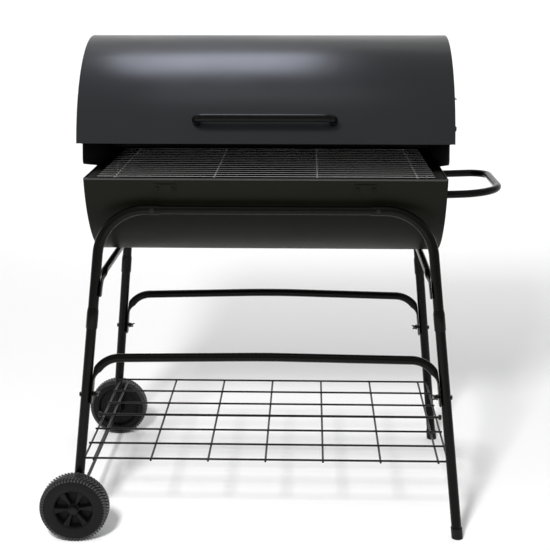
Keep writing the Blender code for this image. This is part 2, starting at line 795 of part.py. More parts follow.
def build_leg_lower(end_name, side_name):
    side, end = SIDES[side_name], ENDS[end_name]
    name = f"leg_lower_{end_name}_{side_name}"
    top = leg_point(side, end, SLEEVE_BORE_Z - 0.001)
    bottom = leg_point(side, end, 0.0045 if side > 0 else 0.058)
    leg = pipe(name, bottom, top, LEG_RADIUS)
    cut(leg, bolt_hole(f"{name}_bolt_hole", side, end))
    rod_y = end * (LEG_FLOOR_Y - LEG_LEAN_Y * SIDE_ROD_Z)
    start = (side * SIDE_ROD_X, rod_y - end * 0.030, SIDE_ROD_Z)
    stop = (side * SIDE_ROD_X, rod_y - end * 0.001, SIDE_ROD_Z)
    cut(leg, rod(f"{name}_rod_hole", start, stop, clear_radius(SHELF_WIRE_RADIUS, 12)))
    if side < 0:
        hub = leg_point(side, end, WHEEL_Z)
        near = hub - Vector((0, 0.030, 0))
        far = hub + Vector((0, 0.030, 0))
        cut(leg, rod(f"{name}_axle_hole", near, far, clear_radius(AXLE_RADIUS, 16), 16))
    finish(leg, TUBE_ENAMEL)


def build_foot_cap(end_name):
    end = ENDS[end_name]
    profile = ((0, 0), (0.0128, 0), (0.0128, 0.024), (0.0117, 0.024), (0.0117, 0.0022), (0, 0.0022))
    cap = turned(f"foot_cap_{end_name}_right", profile, (0, 0, 0), (0, 0, 1), 20)
    lean = Matrix.Translation(leg_point(1, end, 0))
    lean[0][2] = -LEG_LEAN_X
    lean[1][2] = -end * LEG_LEAN_Y
    cap.data.transform(lean)
    finish(cap, CAP_PLASTIC)


def build_stretcher(end_name):
    end = ENDS[end_name]
    corners = [leg_point(-1, end, STRETCHER_END_Z, STRETCHER_INSET)]
    corners.append(leg_point(-1, end, STRETCHER_CORNER_Z[end], STRETCHER_INSET))
    middle = leg_point(1, end, STRETCHER_MIDDLE_Z[end])
    corners.append(Vector((0, middle.y, middle.z)))
    corners.append(leg_point(1, end, STRETCHER_CORNER_Z[end], STRETCHER_INSET))
    corners.append(leg_point(1, end, STRETCHER_END_Z, STRETCHER_INSET))
    path = rounded(corners, (0.060, 3.0, 0.060), 6)
    stretcher = bar(f"stretcher_{end_name}", path, CROSSBAR_RADIUS)
    press_ends(stretcher, path, CROSSBAR_RADIUS, 0.0, 0.030, Vector((1, 0, 0)))
    holes = [bolt_hole(f"stretcher_hole_{end_name}_{name}", side, end) for name, side in SIDES.items()]
    cut(stretcher, joined(f"stretcher_holes_{end_name}", holes))
    finish(stretcher, TUBE_ENAMEL)


def build_stretcher_bolt(end_name, side_name):
    side, end = SIDES[side_name], ENDS[end_name]
    head = LEG_RADIUS + 0.0010
    start = leg_point(side, end, BOLT_Z) + Vector((side * (head + 0.0026), 0, 0))
    profile = (
        (0, 0),
        (0.0036, 0.0003),
        (0.0056, 0.0014),
        (0.0056, 0.0026),
        (BOLT_RADIUS, 0.0026),
        (BOLT_RADIUS, 0.0420),
        (0, 0.0420),
    )
    name = f"stretcher_bolt_{end_name}_{side_name}"
    finish(turned(name, profile, start, (-side, 0, 0), 12), BLACK_STEEL)


def build_wing_nut(end_name, side_name):
    side, end = SIDES[side_name], ENDS[end_name]
    name = f"wing_nut_{end_name}_{side_name}"
    inset = STRETCHER_INSET + PRESSED_HALF + 0.0012
    base = leg_point(side, end, BOLT_Z) - Vector((side * inset, 0, 0))
    inward = Vector((-side, 0, 0))
    profile = ((0, 0), (0.0068, 0), (0.0068, 0.0012), (0.0046, 0.0062), (0, 0.0062))
    nut = turned(name, profile, base, inward, 12)
    half = [(0.0015, 0.0065), (0.0040, 0.0120), (0.0100, 0.0150), (0.0125, 0.0130), (0.0085, 0.0045)]
    outline = [(base.x - side * rise, base.y + run) for rise, run in half]
    outline += [(base.x - side * rise, base.y - run) for rise, run in reversed(half)]
    unite(nut, plate(f"{name}_wings", outline, [], "Z", base.z - 0.0011, 0.0022))
    near = base - inward * 0.005
    far = base + inward * 0.015
    cut(nut, rod(f"{name}_bore", near, far, clear_radius(BOLT_RADIUS, 12)))
    finish(nut, BLACK_STEEL)


def build_side_brace(side_name):
    side = SIDES[side_name]
    corners = [
        leg_point(side, -1, BRACE_END_Z, BRACE_INSET),
        leg_point(side, -1, BRACE_TOP_Z, BRACE_INSET),
        leg_point(side, 1, BRACE_TOP_Z, BRACE_INSET),
        leg_point(side, 1, BRACE_END_Z, BRACE_INSET),
    ]
    path = rounded(corners, (0.040, 0.040), 6)
    brace = bar(f"side_brace_{side_name}", path, BRACE_RADIUS)
    press_ends(brace, path, BRACE_RADIUS, 0.0235, 0.0161, Vector((1, 0, 0)))
    finish(brace, TUBE_ENAMEL)


def build_shelf_panel():
    wires = []
    for row in (-3, -2, -1, 1, 2, 3):
        along = row * SHELF_PITCH_Y
        start = (-SHELF_HALF_LENGTH, along, SHELF_Z)
        end = (SHELF_HALF_LENGTH, along, SHELF_Z)
        wires.append(rod(f"shelf_wire_{row}", start, end, SHELF_WIRE_RADIUS, 8))
    panel = joined("shelf_panel", wires)
    crosses = []
    for column in range(-3, 4):
        across = column * SHELF_PITCH_X
        start = (across, -SHELF_HALF_DEPTH, SHELF_Z - 0.0032)
        end = (across, SHELF_HALF_DEPTH, SHELF_Z - 0.0032)
        crosses.append(rod(f"shelf_cross_{column}", start, end, SHELF_WIRE_RADIUS, 8))
    unite(panel, joined("shelf_cross_wires", crosses))
    finish(panel, SHELF_ENAMEL)


def build_shelf_side_rod(side_name):
    across = SIDES[side_name] * SIDE_ROD_X
    start = (across, -0.2765, SIDE_ROD_Z)
    end = (across, 0.2765, SIDE_ROD_Z)
    finish(rod(f"shelf_side_rod_{side_name}", start, end, SHELF_WIRE_RADIUS, 10), SHELF_ENAMEL)


def build_shelf_center_bar():
    half = []
    half.append((0, 0.4190))
    half.append((0.0052, 0.4190))
    half.append((0.0066, 0.4174))
    half.append((0.0066, 0.4122))
    half.append((CENTRE_BAR_RADIUS, 0.4112))
    other = [(radius, -height) for radius, height in reversed(half)]
    centre = turned("shelf_center_bar", half + other, (0, 0, CENTRE_BAR_Z), (1, 0, 0), 12)
    finish(centre, SHELF_ENAMEL)


def build_axle():
    start = (AXLE_X, -AXLE_HALF_LENGTH, WHEEL_Z)
    end = (AXLE_X, AXLE_HALF_LENGTH, WHEEL_Z)
    finish(rod("axle", start, end, AXLE_RADIUS, 16), BLACK_STEEL)


def build_wheel(end_name):
    end = ENDS[end_name]
    hub = Vector((AXLE_X, end * WHEEL_Y, WHEEL_Z))
    half = WHEEL_HALF_WIDTH
    bore = clear_radius(AXLE_RADIUS, 32)
    profile = (
        (bore, -half),
        (0.014, -half),
        (0.017, -0.007),
        (0.050, -0.007),
        (0.052, -half),
        (0.070, -half),
        (WHEEL_RADIUS, -0.014),
        (WHEEL_RADIUS, 0.014),
        (0.070, half),
        (0.044, half),
        (0.042, 0.013),
        (0.016, 0.013),
        (0.014, 0.016),
        (bore, 0.016),
    )
    wheel = turned(f"wheel_{end_name}", profile, hub, (0, end, 0), 32, hollow=True)
    pockets = []
    for pocket in range(6):
        middle = 60 * pocket + 30
        outline = arc((0, 0), 0.0395, middle - 20, middle + 20, 4)
        outline += arc((0, 0), 0.0185, middle + 15, middle - 15, 3)
        outline = [(hub.z + up, hub.x + across) for up, across in outline]
        start = hub.y + end * 0.011 - 0.006
        pockets.append(plate(f"pocket_{end_name}_{pocket}", outline, [], "Y", start, 0.012))
    cut(wheel, joined(f"wheel_pockets_{end_name}", pockets))
    finish(wheel, WHEEL_PLASTIC, WHEEL_HUBS[end_name])


def build_hub_cap(end_name):
    end = ENDS[end_name]
    bore = clear_radius(AXLE_RADIUS, 20)
    profile = (
        (0, 0.3445),
        (0.007, 0.3442),
        (0.010, 0.3418),
        (0.010, 0.3358),
        (bore, 0.3358),
        (bore, 0.3404),
        (0, 0.3404),
    )
    cap = turned(f"hub_cap_{end_name}", profile, (AXLE_X, 0, WHEEL_Z), (0, end, 0), 20)
    finish(cap, CAP_PLASTIC)


def build_firebox():
    build_firebox_shell()
    build_charcoal_tray()
    build_cooking_grate()
    build_side_handle()
    for side_name in SIDES:
        build_firebox_end(side_name)
        build_grate_ledge(side_name)
        build_hinge_pin(side_name)
    for end_name in ENDS:
        build_tray_rail(end_name)
        for side_name in SIDES:
            build_rail_plate(end_name, side_name)


def build_lid():
    build_lid_shell()
    build_lid_handle()
    build_vent_damper()
    build_vent_screw()
    for side_name in SIDES:
        build_lid_end(side_name)
        build_handle_screw(side_name)


def build_stand():
    for end_name in ENDS:
        build_crossbar(end_name)
        build_stretcher(end_name)
        build_foot_cap(end_name)
        for side_name in SIDES:
            build_leg_upper(end_name, side_name)
            build_leg_lower(end_name, side_name)
            build_stretcher_bolt(end_name, side_name)
            build_wing_nut(end_name, side_name)
    for side_name in SIDES:
        build_crossbar_screw(side_name)
        build_side_brace(side_name)
        build_shelf_side_rod(side_name)
    build_shelf_panel()
    build_shelf_center_bar()


def build_wheels():
    build_axle()
    for end_name in ENDS:
        build_wheel(end_name)
        build_hub_cap(end_name)


build_firebox()
build_lid()
build_stand()
build_wheels()
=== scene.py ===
"""Looks of the barrel charcoal grill: finer pieces, finishes, floor, lights and camera.

Metres throughout, in the frame's own axes. Lid pieces are drawn closed and then turned to rest.
"""
import json
import math

import bmesh
import bpy
from mathutils import Matrix, Vector


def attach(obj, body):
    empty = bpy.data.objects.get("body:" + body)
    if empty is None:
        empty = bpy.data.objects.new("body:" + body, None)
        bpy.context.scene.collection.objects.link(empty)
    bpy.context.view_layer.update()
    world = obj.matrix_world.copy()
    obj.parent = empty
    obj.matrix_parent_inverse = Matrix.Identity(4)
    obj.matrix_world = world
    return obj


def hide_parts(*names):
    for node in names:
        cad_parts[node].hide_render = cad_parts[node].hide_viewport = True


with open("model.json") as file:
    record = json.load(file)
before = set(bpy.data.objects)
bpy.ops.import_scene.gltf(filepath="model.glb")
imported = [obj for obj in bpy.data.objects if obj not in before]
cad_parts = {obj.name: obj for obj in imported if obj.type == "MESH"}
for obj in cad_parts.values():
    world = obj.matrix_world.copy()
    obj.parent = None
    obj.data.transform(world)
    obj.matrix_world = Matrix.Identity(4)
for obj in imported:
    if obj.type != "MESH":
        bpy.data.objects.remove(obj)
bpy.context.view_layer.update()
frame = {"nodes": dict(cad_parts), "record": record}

SHEET = 0.0012
SHEET_END_INSET = 0.001
FIREBOX_RADIUS = 0.2410
FIREBOX_HALF_CHORD = 0.2375
RIM_Z = 0.798
FIREBOX_CENTRE_Z = RIM_Z + math.sqrt(FIREBOX_RADIUS**2 - FIREBOX_HALF_CHORD**2)
FIREBOX_HALF_LENGTH = 0.3866
RIM_LIP_Y = 0.2275
RIM_ROLL = 0.0024
BEAD_Y = 0.2360
BEAD_RADIUS = 0.0021
BEAD_HALF_LENGTH = 0.3864

LID_RADIUS = 0.261
LID_HALF_LENGTH = 0.400
LID_CENTRE = Vector((0.0, 0.0107, 0.7895))
LID_FRONT_ANGLE = 179.1
LID_OPEN_ANGLE = 10
LID_END_ROLL = 0.0008
HINGE = Vector((0.0, 0.205, 0.765))
LID_HANDLE_ANGLE = 10.8
LID_HANDLE_HALF_WIDTH = 0.1445
LID_HANDLE_FOOT = 0.2612
LID_HANDLE_REACH = 0.303
LID_HANDLE_BENDS = (0.020, 0.020)

LEG_FLOOR_X = 0.4289
LEG_FLOOR_Y = 0.2940
LEG_LEAN_X = 0.1044
LEG_LEAN_Y = 0.0859
LEG_RADIUS = 0.0112
UPPER_LEG_START_X = 0.226
UPPER_LEG_END_Z = 0.509
UPPER_LEG_BEND = 0.107
LOWER_LEG_TOP_Z = 0.505
LOWER_LEG_BOTTOM_Z = {"left": 0.058, "right": 0.0045}
SLEEVE_Z = 0.510
# The swaged sleeve, as (radius, distance down the leg).
SLEEVE_PROFILE = (
    (0.0111, -0.006),
    (0.0127, 0.004),
    (0.0127, 0.0400),
    (0.0122, 0.0410),
    (0.0115, 0.0412),
    (0.0114, 0.004),
)
CROSSBAR_Z = 0.729
CROSSBAR_RADIUS = 0.0096
CROSSBAR_HALF_LENGTH = 0.260
STRETCHER_END_Z = 0.302
STRETCHER_CORNER_Z = {-1: 0.4025, 1: 0.4060}
STRETCHER_MIDDLE_Z = {-1: 0.4080, 1: 0.4155}
STRETCHER_BENDS = (0.060, 3.0, 0.060)
STRETCHER_PRESS = (0.0, 0.030)
BRACE_END_Z = 0.540
BRACE_TOP_Z = 0.5895
BRACE_RADIUS = 0.0080
BRACE_BENDS = (0.040, 0.040)
BRACE_PRESS = (0.0235, 0.0161)
PRESSED_SWELL = 0.42
PRESSED_HALF = 0.0024
PRESSED_INSET = LEG_RADIUS + 0.0004 + PRESSED_HALF
TUBE_SIDES = 28

GRATE_PITCH = 0.0274
GRATE_RODS = 16
GRATE_HALF_LENGTH = 0.363
GRATE_Z = 0.797
GRATE_ROD_RADIUS = 0.0015
GRATE_CROSS_X = (-0.326, -0.111, 0.111, 0.326)
GRATE_CROSS_Z = 0.7937
GRATE_CROSS_RADIUS = 0.0025
GRATE_CROSS_PAST = 0.004

SHELF_WIRE_RADIUS = 0.0024
SHELF_PITCH_Y = 0.0885
SHELF_PITCH_X = 0.12823
SHELF_HALF_LENGTH = 0.411
SHELF_HALF_DEPTH = 0.268
SHELF_Z = 0.1697
SHELF_CROSS_Z = 0.1665
SIDE_ROD_X = 0.4075
SIDE_ROD_HALF_LENGTH = 0.2765
SIDE_ROD_Z = 0.1646
WIRE_SIDES = 12
WIRE_CHAMFER = 0.0004

WHEEL_RADIUS = 0.076
WHEEL_Y = 0.3194
WHEEL_Z = WHEEL_RADIUS
AXLE_X = -(LEG_FLOOR_X - LEG_LEAN_X * WHEEL_Z)
AXLE_RADIUS = 0.004
AXLE_HALF_LENGTH = 0.340
TREAD_STARTS = 0.0665
TREAD_LUGS = 62
# Each lug from the middle of the tread out, as (offset, top radius, lean in pitches).
LUG_STATIONS = (
    (0.0005, 0.0752, -0.85),
    (0.0085, 0.0760, -0.25),
    (0.0142, 0.0758, 0.25),
    (0.0176, 0.0742, 0.50),
    (0.0194, 0.0706, 0.62),
)
LUG_ROOT = 0.0700
LUG_SHOULDER = 0.015
LUG_SHOULDER_ROOT = 0.0670
LUG_CHAMFER = 0.0006
LUG_HALF_WIDTHS = (0.31, 0.26, 0.20)
SPOKES = 6
SPOKE_START = 5
# Each spoke from hub to rim, as (radius, half width, height off the web).
SPOKE_STATIONS = ((0.0100, 0.0022, 0.0134), (0.026, 0.0042, 0.0150), (0.0430, 0.0072, 0.0168))
SPOKE_ROOT = 0.0005
SPOKE_DRAFT = 0.0016
SPOKE_CHAMFER_DROP = 0.0010
SPOKE_CHAMFER_WIDTH = 0.0012
# The moulded wheel, as (radius, distance out along the axle).
WHEEL_PROFILE = (
    (0.0046, -0.019),
    (0.013, -0.019),
    (0.016, -0.007),
    (0.049, -0.007),
    (0.052, -0.0175),
    (0.054, -0.019),
    (0.066, -0.0188),
    (0.0695, -0.0172),
    (0.0708, -0.014),
    (0.0708, 0.014),
    (0.0695, 0.0172),
    (0.066, 0.0188),
    (0.054, 0.0190),
    (0.0462, 0.0187),
    (0.0440, 0.0178),
    (0.0424, 0.0160),
    (0.0408, 0.0110),
    (0.0396, 0.0010),
    (0.0146, 0.0010),
    (0.0126, 0.0120),
    (0.0104, 0.0132),
    (0.0104, 0.0158),
    (0.0046, 0.0158),
)

HANDLE_OUT = 0.526
HANDLE_RADIUS = 0.0085
SIDE_HANDLE_X = 0.3886
SIDE_HANDLE_Y = (-0.107, 0.170)
SIDE_HANDLE_Z = 0.7415
SIDE_HANDLE_RISE = 0.036
SIDE_HANDLE_BENDS = (0.095, 0.047)
ORIGIN_X = -(AXLE_X - WHEEL_RADIUS + HANDLE_OUT + HANDLE_RADIUS) / 2

SIDES = {"left": -1, "right": 1}
ENDS = {"front": -1, "rear": 1}

FLOOR_NEAR = -9.0
FLOOR_HALF_WIDTH = 14
WALL_START = 5.5
WALL_CURVE = 2.5
WALL_TOP = 9.0
WORLD_STRENGTH = 0.50
CAMERA_YAW = -0.028867
CAMERA_PITCH = 0.249239
CAMERA_ROLL = -0.000733
CAMERA_LENS = 78.545
CAMERA_SENSOR = 36.0
CAMERA_FAR = 60.0
CAMERA_PLACE = (0.09367 + ORIGIN_X, -2.75451, 1.22843)

CREASE_DEGREES = 32

TO_ROW = Matrix.Translation((ORIGIN_X, 0, 0))
LID_REST = (
    TO_ROW
    @ Matrix.Translation(HINGE)
    @ Matrix.Rotation(-math.radians(LID_OPEN_ANGLE), 4, "X")
    @ Matrix.Translation(-HINGE)
)


# ---------------------------------------------------------------- finishes


def finish(name, color, roughness, metallic=0.0, specular=0.5, grain=900, bump=0.15, mottle=0.12):
    """A coating with faint cloudy colour, uneven gloss and a fine grain."""
    material = bpy.data.materials.new(name)
    material.use_nodes = True
    nodes = material.node_tree.nodes
    links = material.node_tree.links
    shader = nodes["Principled BSDF"]
    shader.inputs["Metallic"].default_value = metallic
    shader.inputs["Specular IOR Level"].default_value = specular
    place = nodes.new("ShaderNodeTexCoord")
    cloud = nodes.new("ShaderNodeTexNoise")
    cloud.inputs["Scale"].default_value = 7.0
    cloud.inputs["Detail"].default_value = 5.0
    links.new(place.outputs["Object"], cloud.inputs["Vector"])
    shade = nodes.new("ShaderNodeMix")
    shade.data_type = "RGBA"
    shade.inputs["A"].default_value = (*[c * (1 - mottle) for c in color], 1)
    shade.inputs["B"].default_value = (*[c * (1 + mottle) for c in color], 1)
    links.new(cloud.outputs["Fac"], shade.inputs["Factor"])
    links.new(shade.outputs["Result"], shader.inputs["Base Color"])
    gloss = nodes.new("ShaderNodeMapRange")
    gloss.inputs["From Min"].default_value = 0.3
    gloss.inputs["From Max"].default_value = 0.7
    gloss.inputs["To Min"].default_value = roughness - 0.035
    gloss.inputs["To Max"].default_value = roughness + 0.035
    links.new(cloud.outputs["Fac"], gloss.inputs["Value"])
    links.new(gloss.outputs["Result"], shader.inputs["Roughness"])
    fine = nodes.new("ShaderNodeTexNoise")
    fine.inputs["Scale"].default_value = grain
    fine.inputs["Detail"].default_value = 3.0
    links.new(place.outputs["Object"], fine.inputs["Vector"])
    relief = nodes.new("ShaderNodeBump")
    relief.inputs["Strength"].default_value = bump
    relief.inputs["Distance"].default_value = 0.0003
    links.new(fine.outputs["Fac"], relief.inputs["Height"])
    links.new(relief.outputs["Normal"], shader.inputs["Normal"])
    return material


LID_PAINT = finish(
    "lid_paint", (0.0080, 0.0086, 0.0100), 0.33, specular=0.33, grain=1100, bump=0.10
)
FIREBOX_PAINT = finish(
    "firebox_paint", (0.0032, 0.0032, 0.0018), 0.44, specular=0.105, grain=1000
)
TUBE_PAINT = finish("tube_paint", (0.0014, 0.0014, 0.0011), 0.22, specular=0.115, grain=1300)
INSIDE_PAINT = finish(
    "inside_paint", (0.0180, 0.0176, 0.0168), 0.66, specular=0.10, grain=500, bump=0.3
)
# Painted highlight: the rim beads are painted light grey to stand in for the bright line along the
# rim.
RIM_HIGHLIGHT_PAINT = finish(
    "rim_painted_highlight", (0.0300, 0.0300, 0.0280), 0.42, specular=0.40, grain=900, mottle=0.3
)
WIRE_COAT = finish(
    "wire_coat", (0.0060, 0.0060, 0.0060), 0.40, specular=0.30, grain=1500, bump=0.08
)
CHROME = finish("chrome_wire", (0.86, 0.86, 0.85), 0.12, metallic=1.0, grain=1800, bump=0.02)
WHEEL_MOULD = finish(
    "wheel_mould", (0.0026, 0.0026, 0.0025), 0.52, specular=0.18, grain=1600, bump=0.35
)
# Painted highlight: the tread is painted lighter than the wheel mould to stand in for the light
# its outer faces catch.
WHEEL_TREAD_HIGHLIGHT = finish(
    "wheel_tread_painted_highlight", (0.0150, 0.0150, 0.0148), 0.40, specular=0.60, grain=1400, bump=0.25
)
CAP_MOULD = finish(
    "cap_mould", (0.0028, 0.0028, 0.0028), 0.48, specular=0.20, grain=1400, bump=0.25
)
SCREW_STEEL = finish(
    "black_screws", (0.0026, 0.0026, 0.0026), 0.34, specular=0.22, grain=1800, bump=0.10
)


# ---------------------------------------------------------------- mesh tools


def piece(name, shape, material, body, nodes=(), turn=TO_ROW, lining=None, trim=None):
    """Finish a mesh, stand it in the frame, tie it to a body and hide the parts it stands in for.

    A lining is a second finish, with the axis whose inner side it covers. A trim is a second
    finish for what lies beyond a radius from an axis along Y.
    """
    bmesh.ops.remove_doubles(shape, verts=shape.verts, dist=2e-6)
    bmesh.ops.recalc_face_normals(shape, faces=shape.faces)
    if trim:
        hub, radius = trim[1:]
        for face in shape.faces:
            spokes = [(vertex.co - hub).cross(Vector((0, 1, 0))) for vertex in face.verts]
            if min(spoke.length for spoke in spokes) > radius:
                face.material_index = 1
    if lining:
        along, up = lining[1]
        for face in shape.faces:
            middle = face.calc_center_median()
            spoke = Vector((0, middle.y - along, middle.z - up))
            if face.normal.dot(spoke) < 0:
                face.material_index = 1
    shape.transform(turn)
    mesh = bpy.data.meshes.new(name)
    shape.to_mesh(mesh)
    shape.free()
    mesh.shade_smooth()
    mesh.set_sharp_from_angle(angle=math.radians(CREASE_DEGREES))
    mesh.materials.append(material)
    if lining or trim:
        mesh.materials.append((lining or trim)[0])
    item = bpy.data.objects.new(name, mesh)
    bpy.context.scene.collection.objects.link(item)
    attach(item, body)
    if nodes:
        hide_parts(*nodes)


def skin(shape, rings, closed=False):
    """Faces between neighbouring rings of vertices; a ring may be one repeated vertex."""
    pairs = list(zip(rings, rings[1:]))
    if closed:
        pairs.append((rings[-1], rings[0]))
    for ring, following in pairs:
        for index in range(len(ring)):
            nearby = (index + 1) % len(ring)
            corners = (ring[index], ring[nearby], following[nearby], following[index])
            corners = list(dict.fromkeys(corners))
            if len(corners) > 2:
                shape.faces.new(corners)


def add_tube(shape, path, radius, sides=20, chamfer=0.0006, press=None):
    """A round bar along points, with eased ends.

    press squeezes both ends thin along X, from each end to the first length past the straight
    part, and lets them swell back over the second length.
    """
    path = [Vector(point) for point in path]
    reach = [0.0]
    for before, after in zip(path, path[1:]):
        reach.append(reach[-1] + (after - before).length)
    rings = []
    across = None
    last = len(path) - 1
    for index, point in enumerate(path):
        back = (point - path[max(index - 1, 0)]).normalized()
        ahead = (path[min(index + 1, last)] - point).normalized()
        along = (back + ahead).normalized()
        if across is None:
            across = along.orthogonal()
        across = (across - along * across.dot(along)).normalized()
        up = along.cross(across)
        steps = [(0.0, radius)]
        if index in (0, last):
            steps = [(chamfer, radius), (0.0, radius - chamfer), (0.0, 0)]
        if index == 0:
            steps.reverse()
        toward = along if index == 0 else -along
        thin = wide = 1.0
        narrow, broad = across, up
        if press:
            distance = min(reach[index], reach[-1] - reach[index]) - reach[1]
            part = min(max((distance - press[0]) / press[1], 0.0), 1.0) ** 2
            if part < 1:
                thin = part + (1 - part) * PRESSED_HALF / radius
                wide = 1 + PRESSED_SWELL * (1 - part)
                narrow = (Vector((1, 0, 0)) - along * along.x).normalized()
                broad = along.cross(narrow)
        for shift, size in steps:
            centre = point + toward * shift
            if size == 0:
                rings.append([shape.verts.new(centre)] * sides)
                continue
            ring = []
            for side in range(sides):
                angle = 2 * math.pi * side / sides
                spoke = (across * math.cos(angle) + up * math.sin(angle)) * size
                if thin < 1:
                    spoke = narrow * spoke.dot(narrow) * thin + broad * spoke.dot(broad) * wide
                ring.append(shape.verts.new(centre + spoke))
            rings.append(ring)
    skin(shape, rings)


def add_turned(shape, profile, origin, direction, steps=32, closed=False):
    """A turned form; profile lists (radius, distance along the direction) pairs."""
    turn = Vector(direction).to_track_quat("Z", "X").to_matrix()
    origin = Vector(origin)
    rings = []
    for radius, height in profile:
        if radius == 0:
            rings.append([shape.verts.new(origin + turn @ Vector((0, 0, height)))] * steps)
            continue
        ring = []
        for step in range(steps):
            angle = 2 * math.pi * step / steps
            flat = Vector((radius * math.cos(angle), radius * math.sin(angle), height))
            ring.append(shape.verts.new(origin + turn @ flat))
        rings.append(ring)
    skin(shape, rings, closed)


def add_sheet(shape, outline, half_length, thickness, roll=0.0):
    """Sheet bent along X; outline is the outer face and roll rounds its two long ends."""
    outline = [Vector(point) for point in outline]
    rings = []
    last = len(outline) - 1
    section = [(half_length - roll, 0.0), (half_length, roll), (half_length, thickness)]
    if roll:
        section[1:1] = [(half_length - roll * 0.3, roll * 0.3)]
    section = [(-reach, depth) for reach, depth in reversed(section)] + section
    inner = half_length - SHEET_END_INSET
    section += [(inner, thickness), (-inner, thickness)]
    for index, point in enumerate(outline):
        normals = []
        before, after = outline[max(index - 1, 0)], outline[min(index + 1, last)]
        for tail, head in ((before, point), (point, after)):
            if tail != head:
                along = (head - tail).normalized()
                normals.append(Vector((-along.y, along.x)))
        normal = sum(normals, Vector((0, 0))).normalized()
        reach = 1 / normal.dot(normals[0])
        ring = []
        for across, depth in section:
            flat = point + normal * depth * reach
            ring.append(shape.verts.new((across, flat.x, flat.y)))
        rings.append(ring)
    skin(shape, rings)
    shape.faces.new(rings[0])
    shape.faces.new(rings[-1])


def arc(centre, radius, start, end, steps):
    points = []
    for step in range(steps + 1):
        angle = math.radians(start + (end - start) * step / steps)
        points.append((centre[0] + radius * math.cos(angle), centre[1] + radius * math.sin(angle)))
    return points


def rounded(corners, radii, steps=16):
    """The line through some corners with each inner corner turned on an arc."""
    corners = [Vector(corner) for corner in corners]
    path = [corners[0]]
    for before, corner, after, radius in zip(corners, corners[1:], corners[2:], radii):
        back = (before - corner).normalized()
        ahead = (after - corner).normalized()
        half = back.angle(ahead) / 2
        start = corner + back * radius / math.tan(half)
        centre = corner + (back + ahead).normalized() * radius / math.sin(half)
        spoke = start - centre
        last = corner + ahead * radius / math.tan(half) - centre
        axis = spoke.cross(last).normalized()
        for step in range(steps + 1):
            turn = Matrix.Rotation(spoke.angle(last) * step / steps, 3, axis)
            path.append(centre + turn @ spoke)
    path.append(corners[-1])
    return path


def leg_point(side, end, height, inset=0.0):
    across = LEG_FLOOR_X - LEG_LEAN_X * height - inset
    along = LEG_FLOOR_Y - LEG_LEAN_Y * height
    return Vector((side * across, end * along, height))


def lid_point(across, radius):
    angle = math.radians(LID_HANDLE_ANGLE)
    return LID_CENTRE + Vector((across, -radius * math.cos(angle), radius * math.sin(angle)))


# ---------------------------------------------------------------- firebox and lid


def build_firebox():
    rise = math.degrees(math.asin((RIM_Z - FIREBOX_CENTRE_Z) / FIREBOX_RADIUS))
    wall = arc((0, FIREBOX_CENTRE_Z), FIREBOX_RADIUS, -180 - rise, rise, 120)
    turn = []
    for degrees in range(15, 90, 15):
        angle = math.radians(degrees)
        turn.append((RIM_ROLL * (1 - math.sin(angle)), RIM_ROLL * (1 - math.cos(angle))))
    edge = wall[0][0]
    outline = [(-RIM_LIP_Y, RIM_Z), (edge + RIM_ROLL, RIM_Z)]
    outline += [(edge + inward, RIM_Z - down) for inward, down in turn]
    outline += wall[2:-2]
    outline += [(-edge - inward, RIM_Z - down) for inward, down in reversed(turn)]
    outline += [(-edge - RIM_ROLL, RIM_Z), (RIM_LIP_Y, RIM_Z)]
    shape = bmesh.new()
    add_sheet(shape, outline, FIREBOX_HALF_LENGTH, SHEET)
    lining = (INSIDE_PAINT, (0, FIREBOX_CENTRE_Z))
    nodes = ["firebox_shell"]
    piece("firebox_skin", shape, FIREBOX_PAINT, "frame", nodes, lining=lining)


def build_rim_beads():
    """The rolled edge along both long sides, painted lighter as a painted highlight along the rim.
    """
    shape = bmesh.new()
    for side in (-1, 1):
        along, up = side * BEAD_Y, RIM_Z - BEAD_RADIUS
        ends = [(-BEAD_HALF_LENGTH, along, up), (BEAD_HALF_LENGTH, along, up)]
        add_tube(shape, ends, BEAD_RADIUS, 16)
    piece("rim_beads", shape, RIM_HIGHLIGHT_PAINT, "frame")


def build_lid():
    centre = (LID_CENTRE.y, LID_CENTRE.z)
    shape = bmesh.new()
    outline = arc(centre, LID_RADIUS, 0, LID_FRONT_ANGLE, 160)
    add_sheet(shape, outline, LID_HALF_LENGTH, SHEET, roll=LID_END_ROLL)
    lining = (INSIDE_PAINT, centre)
    piece("lid_skin", shape, LID_PAINT, "lid", ["lid_shell"], LID_REST, lining=lining)
    shape = bmesh.new()
    half = LID_HANDLE_HALF_WIDTH
    corners = [
        lid_point(-half, LID_HANDLE_FOOT),
        lid_point(-half, LID_HANDLE_REACH),
        lid_point(half, LID_HANDLE_REACH),
        lid_point(half, LID_HANDLE_FOOT),
    ]
    add_tube(shape, rounded(corners, LID_HANDLE_BENDS, 12), HANDLE_RADIUS, TUBE_SIDES)
    piece("lid_grip", shape, TUBE_PAINT, "lid", ["lid_handle"], LID_REST)


def build_side_handle():
    near, far = SIDE_HANDLE_Y
    top = SIDE_HANDLE_Z + SIDE_HANDLE_RISE * (HANDLE_OUT - SIDE_HANDLE_X)
    corners = [
        (SIDE_HANDLE_X, near, SIDE_HANDLE_Z),
        (HANDLE_OUT, near, top),
        (HANDLE_OUT, far, top),
        (SIDE_HANDLE_X, far, SIDE_HANDLE_Z),
    ]
    shape = bmesh.new()
    add_tube(shape, rounded(corners, SIDE_HANDLE_BENDS, 24), HANDLE_RADIUS, TUBE_SIDES)
    piece("side_grip", shape, TUBE_PAINT, "frame", ["side_handle"])


